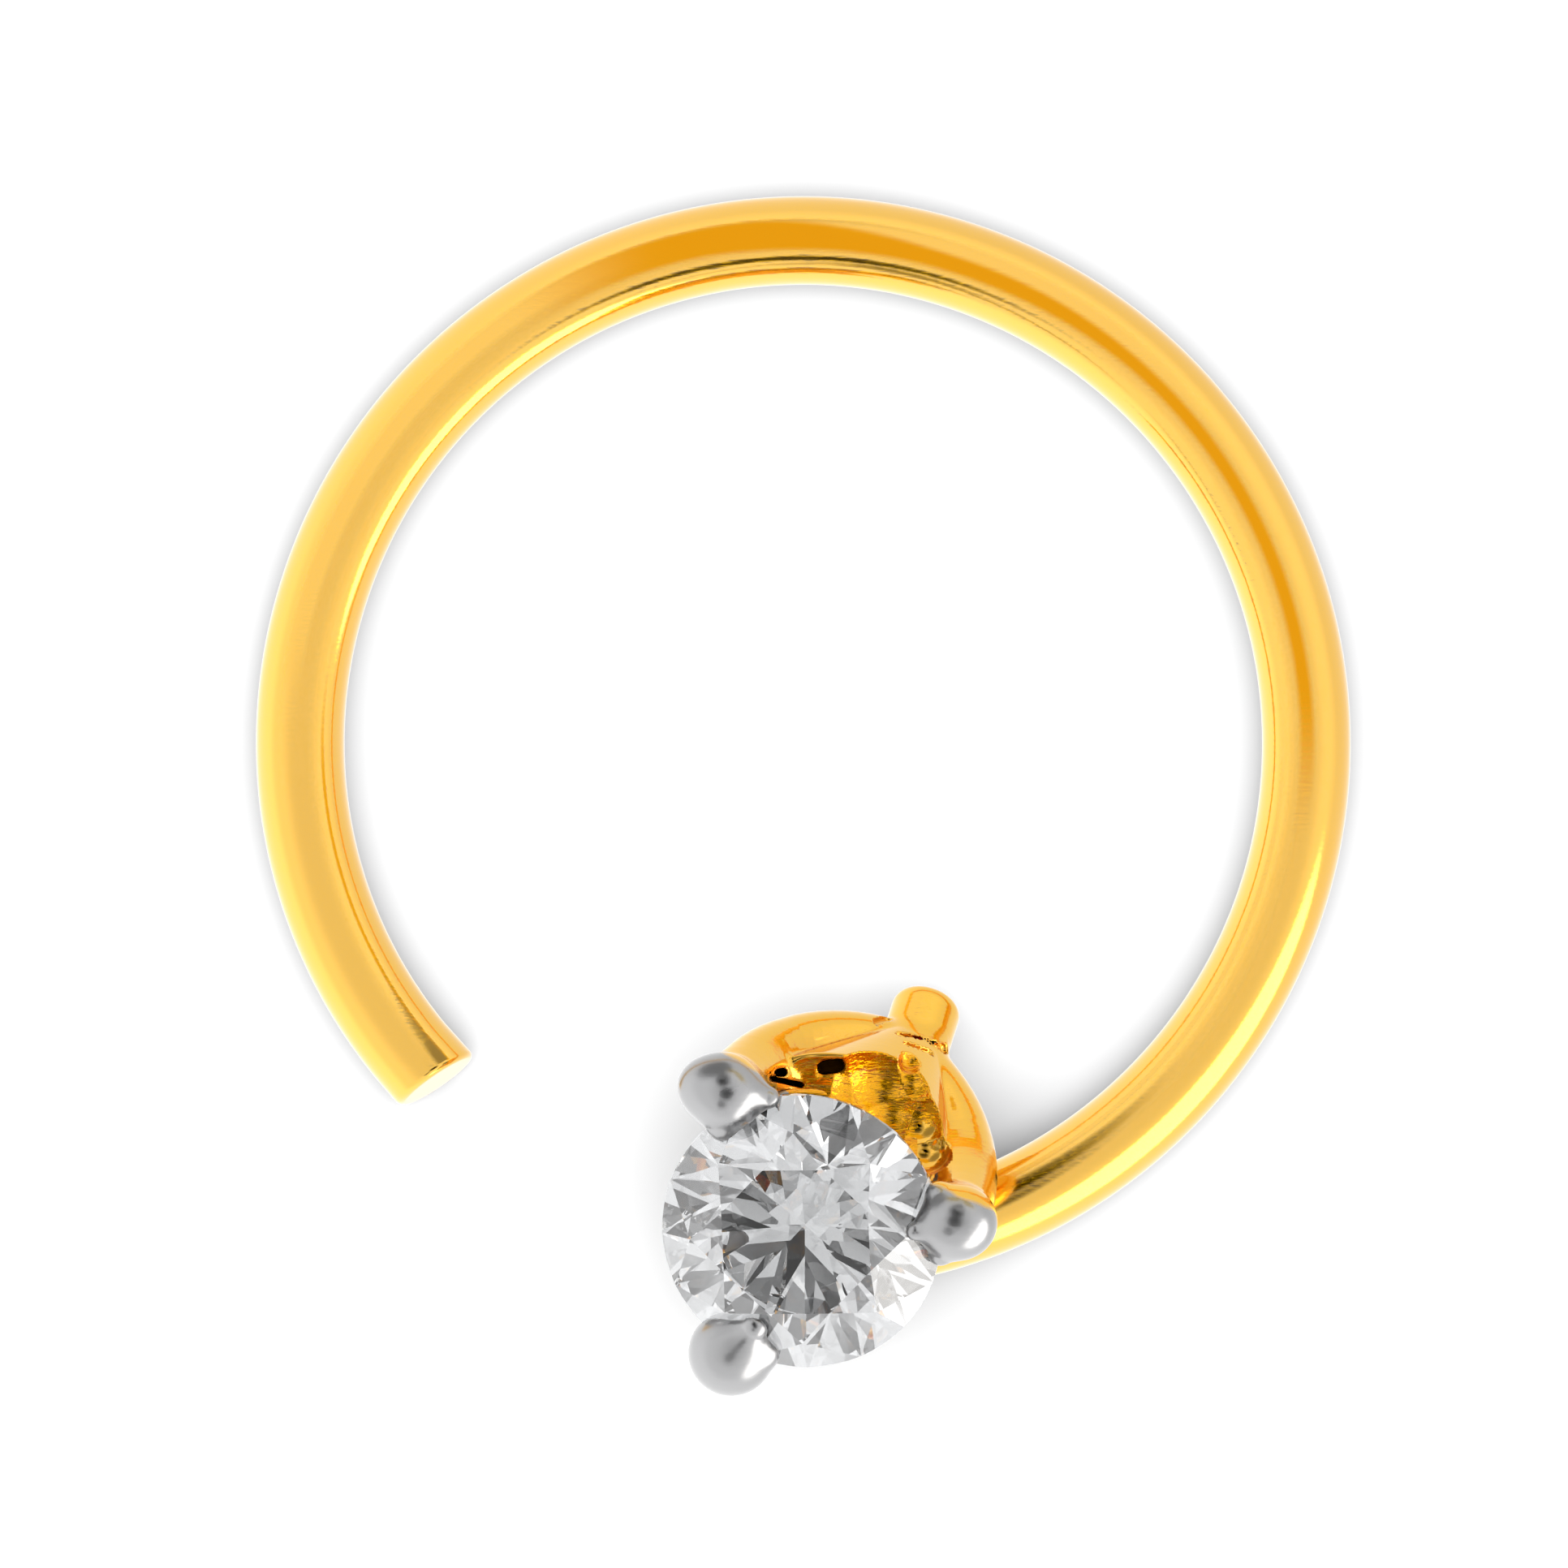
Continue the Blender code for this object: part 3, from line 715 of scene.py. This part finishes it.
def to_head(p):
    """The whole head, cut clear of the stone."""
    form = to_plain_head(p)
    for points, radii in RIDGE_RODS:
        form = blend(form, to_rod(p, points, radii), MARK_EDGE)
    for middle, radius in SCOOP_BALLS:
        form = cut(form, to_ball(p, middle, radius), SCOOP_EDGE)
    for points, radii in GROOVE_RODS:
        form = cut(form, to_rod(p, points, radii), CREASE_EDGE)
    form = cut(form, to_pierced(p), OPENING_EDGE)
    return cut(form, to_stone(p) - TOUCH, MARK_EDGE)


def sampled_head():
    """The head's distance at each corner of the grid, some layers at once."""
    size = np.ceil((HEAD_HIGH - HEAD_LOW) / HEAD_CELL).astype(int) + 1
    axes = [HEAD_LOW[k] + HEAD_CELL * np.arange(size[k]) for k in range(3)]
    grid = np.empty(size, np.float32)
    layer = np.stack(np.meshgrid(axes[0], axes[1], indexing="ij"), axis=-1).reshape(-1, 2)
    for first in range(0, size[2], LAYERS_AT_ONCE):
        heights = axes[2][first:first + LAYERS_AT_ONCE]
        p = np.concatenate([np.repeat(layer, len(heights), axis=0),
                            np.tile(heights, len(layer))[:, None]], axis=1)
        grid[:, :, first:first + len(heights)] = to_head(p).reshape(size[0], size[1], -1)
    return grid


def crossings(grid, axis):
    """Where the grid's values cross zero along an axis: the corners before it, and both values."""
    here = [slice(None)] * 3
    there = [slice(None)] * 3
    here[axis] = slice(0, -1)
    there[axis] = slice(1, None)
    before, after = grid[tuple(here)], grid[tuple(there)]
    crossed = (before < 0) != (after < 0)
    return np.argwhere(crossed), before[crossed], after[crossed]


def surface_of(grid):
    """Points and square faces where the grid's values cross zero, one point for each cell."""
    cells = np.array(grid.shape) - 1
    total = np.zeros((*cells, 3), np.float32)
    count = np.zeros(cells, np.float32)
    for axis in range(3):
        where, before, after = crossings(grid, axis)
        spot = where.astype(np.float32)
        spot[:, axis] += before / (before - after)
        one, two = (k for k in range(3) if k != axis)
        for i in (0, 1):
            for j in (0, 1):
                cell = where.copy()
                cell[:, one] -= i
                cell[:, two] -= j
                good = np.all((cell >= 0) & (cell < cells), axis=1)
                at = tuple(cell[good].T)
                np.add.at(total, at, spot[good])
                np.add.at(count, at, 1)
    used = count > 0
    index = np.full(cells, -1)
    index[used] = np.arange(used.sum())
    points = HEAD_LOW + HEAD_CELL * (total[used] / count[used][:, None])
    faces = []
    for axis in range(3):
        where, before, _ = crossings(grid, axis)
        one, two = (axis + 1) % 3, (axis + 2) % 3
        corners = []
        for i, j in ((0, 0), (1, 0), (1, 1), (0, 1)):
            cell = where.copy()
            cell[:, one] -= i
            cell[:, two] -= j
            corners.append(index[tuple(cell.T)])
        square = np.stack(corners, axis=1)
        entering = before >= 0
        square[entering] = square[entering][:, ::-1]
        faces.append(square)
    return points.astype(float), np.concatenate(faces)


def level_and_slope(points):
    """The head's distance at the points, and the unit direction in which it grows."""
    reach = 0.004
    slope = np.empty_like(points)
    for k in range(3):
        step = np.zeros(3)
        step[k] = reach
        slope[:, k] = to_head(points + step) - to_head(points - step)
    slope /= np.maximum(np.linalg.norm(slope, axis=1), 1e-9)[:, None]
    return to_head(points), slope


def finishes(points, faces, slope):
    """Each face's finish: 0 gold and plated claws, 1 seat, 2 rough pit, 3 cast recess; 1 to 3
    carry painted shade.
    """
    middles = points[faces].mean(axis=1)
    up = (middles - CENTRE) @ NORMAL
    off = np.linalg.norm(middles - CENTRE - up[:, None] * NORMAL, axis=1)
    to_side = to_stone(middles)
    nearer = to_stone(points + slope * 0.02) < to_stone(points) - 0.006
    facing = nearer[faces].mean(axis=1) > 0.5
    under = (off < STONE_RADIUS + 0.01) & (up < -0.05)
    seat = under & ((to_side < 0.02) | (facing & (to_side < 0.25)))
    pit = (to_plain_head(middles) < -0.035) & (to_pierced(middles) < 0.03)
    cast = (to_carved(middles) < 0.012) & (to_claws(middles) > 0.012)
    return np.select([seat, pit, cast], [1, 2, 3], 0)


def make_head():
    """The head's surface, found on a grid and drawn onto the exact form."""
    points, faces = surface_of(sampled_head())
    for _ in range(3):
        level, slope = level_and_slope(points)
        points = points - slope * np.clip(level, -0.01, 0.01)[:, None]
    _, slope = level_and_slope(points)
    mesh = bpy.data.meshes.new("setting")
    mesh.from_pydata(((points + HOOP_MIDDLE) * MM).tolist(), [], faces.tolist())
    made = new_object("setting", mesh, head_material())
    for material in (seat_material(), pit_material(), cast_material()):
        mesh.materials.append(material)
    finish = finishes(points, faces, slope).astype(np.int32)
    mesh.polygons.foreach_set("material_index", finish)
    mesh.shade_smooth()
    mesh.normals_split_custom_set_from_vertices(slope.tolist())
    return made


# Stone

def diamond_material():
    made = bpy.data.materials.new("diamond")
    made.use_nodes = True
    shader = made.node_tree.nodes["Principled BSDF"]
    shader.inputs["Base Color"].default_value = (0.66, 0.67, 0.68, 1.0)
    shader.inputs["Roughness"].default_value = 0.0
    shader.inputs["IOR"].default_value = 2.42
    shader.inputs["Transmission Weight"].default_value = 1.0
    return made


# Studio

def card_material(name, colour, strength):
    """Glow that fades out where the mesh's own fade attribute goes to 0."""
    made = bpy.data.materials.new(name)
    made.use_nodes = True
    tree = made.node_tree
    tree.nodes.clear()
    glow = node(tree, "ShaderNodeEmission", inputs={"Strength": strength})
    glow.inputs["Color"].default_value = (*colour, 1.0)
    clear = node(tree, "ShaderNodeBsdfTransparent")
    fade = node(tree, "ShaderNodeAttribute", attribute_name="fade")
    mix = node(tree, "ShaderNodeMixShader")
    leave = node(tree, "ShaderNodeOutputMaterial")
    tree.links.new(fade.outputs["Fac"], mix.inputs[0])
    tree.links.new(clear.outputs[0], mix.inputs[1])
    tree.links.new(glow.outputs[0], mix.inputs[2])
    tree.links.new(mix.outputs[0], leave.inputs["Surface"])
    # Only reflections find the cards, so the floor takes no samples from them
    made.cycles.emission_sampling = "NONE"
    return made


def make_card(name, points, fade, colour, strength):
    """A soft-edged card from rows of points. Only the metal and the stone see it."""
    rows, columns = points.shape[:2]
    faces = [(r * columns + c, r * columns + c + 1, (r + 1) * columns + c + 1,
              (r + 1) * columns + c) for r in range(rows - 1) for c in range(columns - 1)]
    mesh = bpy.data.meshes.new(name)
    mesh.from_pydata(((points.reshape(-1, 3) + HOOP_MIDDLE) * MM).tolist(), [], faces)
    layer = mesh.attributes.new("fade", "FLOAT", "POINT")
    layer.data.foreach_set("value", fade.reshape(-1).astype(np.float32))
    card = new_object(name, mesh, card_material(name, colour, strength))
    card.visible_camera = False
    card.visible_shadow = False
    card.visible_diffuse = False
    return card


def eased(value, low, high):
    t = np.clip((value - low) / (high - low), 0, 1)
    return t * t * (3 - 2 * t)


def flat_card(name, middle, aim, width, height, edge, colour, strength):
    """A flat oval card that faces a point, with an edge that fades over a share of its size."""
    middle = np.array(middle)
    forward = unit(np.array(aim) - middle)
    sideways = unit(np.cross(forward, np.array([0.0, 0.0, 1.0])))
    upward = np.cross(sideways, forward)
    u, v = np.meshgrid(np.linspace(-1, 1, 41), np.linspace(-1, 1, 41), indexing="ij")
    points = (middle + u[..., None] * sideways * width / 2 + v[..., None] * upward * height / 2)
    fade = eased(1 - np.hypot(u, v), 0, edge)
    return make_card(name, points, fade, colour, strength)


def card_over_wire(name, rise, first, last, inner, outer, colour, strength):
    """A curved card just over the hoop, seen in its crest between two leans from upright.

    The stone doesn't see it.
    """
    turn = np.radians(np.linspace(-60, 185, 99))[:, None]
    lean = np.radians(np.linspace(-56, 62, 60))[None, :]
    radius = HOOP_RADIUS + rise * np.tan(lean) + 0 * turn
    points = np.stack([radius * np.cos(turn), radius * np.sin(turn),
                       np.full_like(radius, 2 * WIRE_RADIUS + rise)], axis=-1)
    degrees = np.degrees(turn)
    leans = np.degrees(lean)
    across = (eased(leans, inner(degrees) - 8, inner(degrees) + 10)
              * (1 - eased(leans, outer(degrees) - 12, outer(degrees) + 6)))
    along = eased(degrees, first - 9, first + 9) * (1 - eased(degrees, last - 10, last + 10))
    card = make_card(name, points, across * along, colour, strength)
    card.visible_transmission = False


def cards_over_wire():
    card_over_wire("amber_over_wire", 4.4, -3, 116,
                   lambda turn: -18 - 9 * eased(turn, 45, 70) * (1 - eased(turn, 90, 105)),
                   lambda turn: 22 + 40 * eased(turn, 72, 98),
                   (0.82, 0.56, 0.05), 1.08)
    card_over_wire("white_over_wire", 5.2, 44, 172, lambda turn: 8.0, lambda turn: 58.0,
                   (1.0, 1.0, 1.0), 1.08)
    card_over_wire("white_inside_wire", 5.6, -46, -4, lambda turn: -46.0, lambda turn: -8.0,
                   (1.0, 1.0, 1.0), 1.0)


def studio_world():
    """Soft light all round: brighter near the horizon on the left, and dark up behind."""
    world = bpy.data.worlds.new("studio")
    bpy.context.scene.world = world
    world.use_nodes = True
    tree = world.node_tree
    back = tree.nodes["Background"]
    back.inputs["Color"].default_value = (1.0, 1.0, 1.0, 1.0)
    place = node(tree, "ShaderNodeTexCoord")

    def toward(heading, rise, first, last):
        """1 in a direction and 0 away from it, with a soft edge between two cosines."""
        dot = node(tree, "ShaderNodeVectorMath", operation="DOT_PRODUCT")
        tree.links.new(place.outputs["Generated"], dot.inputs[0])
        dot.inputs[1].default_value = direction(math.radians(heading), math.radians(rise))
        soft = node(tree, "ShaderNodeMapRange", interpolation_type="SMOOTHSTEP",
                    inputs={"From Min": first, "From Max": last})
        tree.links.new(dot.outputs["Value"], soft.inputs["Value"])
        return soft.outputs["Result"]

    around = math_node(tree, "SUBTRACT", 1.0, toward(0, 90, 0.62, 0.985))
    horizon = math_node(tree, "SUBTRACT", 1.0, toward(0, 90, 0.02, 0.45))
    left = toward(225, 0, -1.0, 1.0)
    level = math_node(tree, "MULTIPLY_ADD", left, 0.50, -0.22)
    light = math_node(tree, "MULTIPLY_ADD", around, 0.26, 0.95)
    light = math_node(tree, "MULTIPLY_ADD", horizon, level, light)
    dark = toward(97, 54, 0.90, 0.985)
    light = math_node(tree, "MULTIPLY_ADD", dark, -1.08, light)
    tree.links.new(light, back.inputs["Strength"])


def make_floor():
    """A plain pale floor. The metal sees the even light of the world in its place."""
    material = bpy.data.materials.new("floor_white")
    material.use_nodes = True
    shader = material.node_tree.nodes["Principled BSDF"]
    shader.inputs["Base Color"].default_value = (0.9, 0.9, 0.9, 1.0)
    shader.inputs["Roughness"].default_value = 0.9
    shader.inputs["Specular IOR Level"].default_value = 0.1
    mesh = bpy.data.meshes.new("floor")
    half = FLOOR_WIDTH / 2 * MM
    mesh.from_pydata([(-half, -half, 0), (half, -half, 0), (half, half, 0), (-half, half, 0)],
                     [], [(0, 1, 2, 3)])
    floor = new_object("floor", mesh, material)
    floor.visible_glossy = False


def make_studio():
    studio_world()
    cards_over_wire()
    # The bright side light, the dark round of the lens in the stone, and two grey flags: one for
    # the upper leg and one for the stone's table
    flat_card("softbox", (7.6, -7.6, 3.6), (2.6, -2.6, 0.7), 15.5, 7.4, 0.3,
              (1.0, 0.98, 0.95), 3.4)
    flat_card("lens", (0.1, -3.6, 7.5), (0.1, -3.61, 2.0), 4.6, 4.6, 0.5, (0.03,) * 3, 1.0)
    flat_card("back_flag", (-1.0, -1.15, 2.8), (-0.2, -2.5, 1.7), 3.2, 2.2, 0.5, (0.34,) * 3, 1.0)
    flat_card("front_flag", (-1.3, -6.3, 6.6), (0.0, -4.0, 2.4), 3.4, 3.4, 0.8, (0.25,) * 3, 1.0)
    make_floor()
    sun = bpy.data.lights.new("overhead", "SUN")
    sun.energy = 1.8
    sun.angle = math.radians(60)
    lamp = bpy.data.objects.new("overhead", sun)
    bpy.context.scene.collection.objects.link(lamp)
    lamp.visible_glossy = False
    lamp.visible_transmission = False


def make_camera():
    """Straight over the pin, as in the photograph."""
    data = bpy.data.cameras.new("camera")
    data.sensor_width = 36.0
    data.lens = data.sensor_width * CAMERA_DISTANCE / VIEW_WIDTH
    data.clip_start = 0.01
    data.clip_end = 1.0
    camera = bpy.data.objects.new("camera", data)
    bpy.context.scene.collection.objects.link(camera)
    place = np.array([*VIEW_MIDDLE, VIEW_HEIGHT + CAMERA_DISTANCE]) + HOOP_MIDDLE
    camera.location = Vector(place * MM)
    camera.rotation_euler = (0.0, 0.0, 0.0)
    bpy.context.scene.camera = camera


for piece in (make_wire(), make_head()):
    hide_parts("wire_and_setting")
    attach(piece, "root")

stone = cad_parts["stone"]
stone.data.materials.clear()
stone.data.materials.append(diamond_material())

make_studio()
make_camera()
bpy.context.scene.view_settings.view_transform = "Standard"
bpy.context.scene.cycles.caustics_reflective = False
bpy.context.scene.cycles.max_bounces = 24
bpy.context.scene.cycles.glossy_bounces = 16
bpy.context.scene.cycles.transmission_bounces = 16
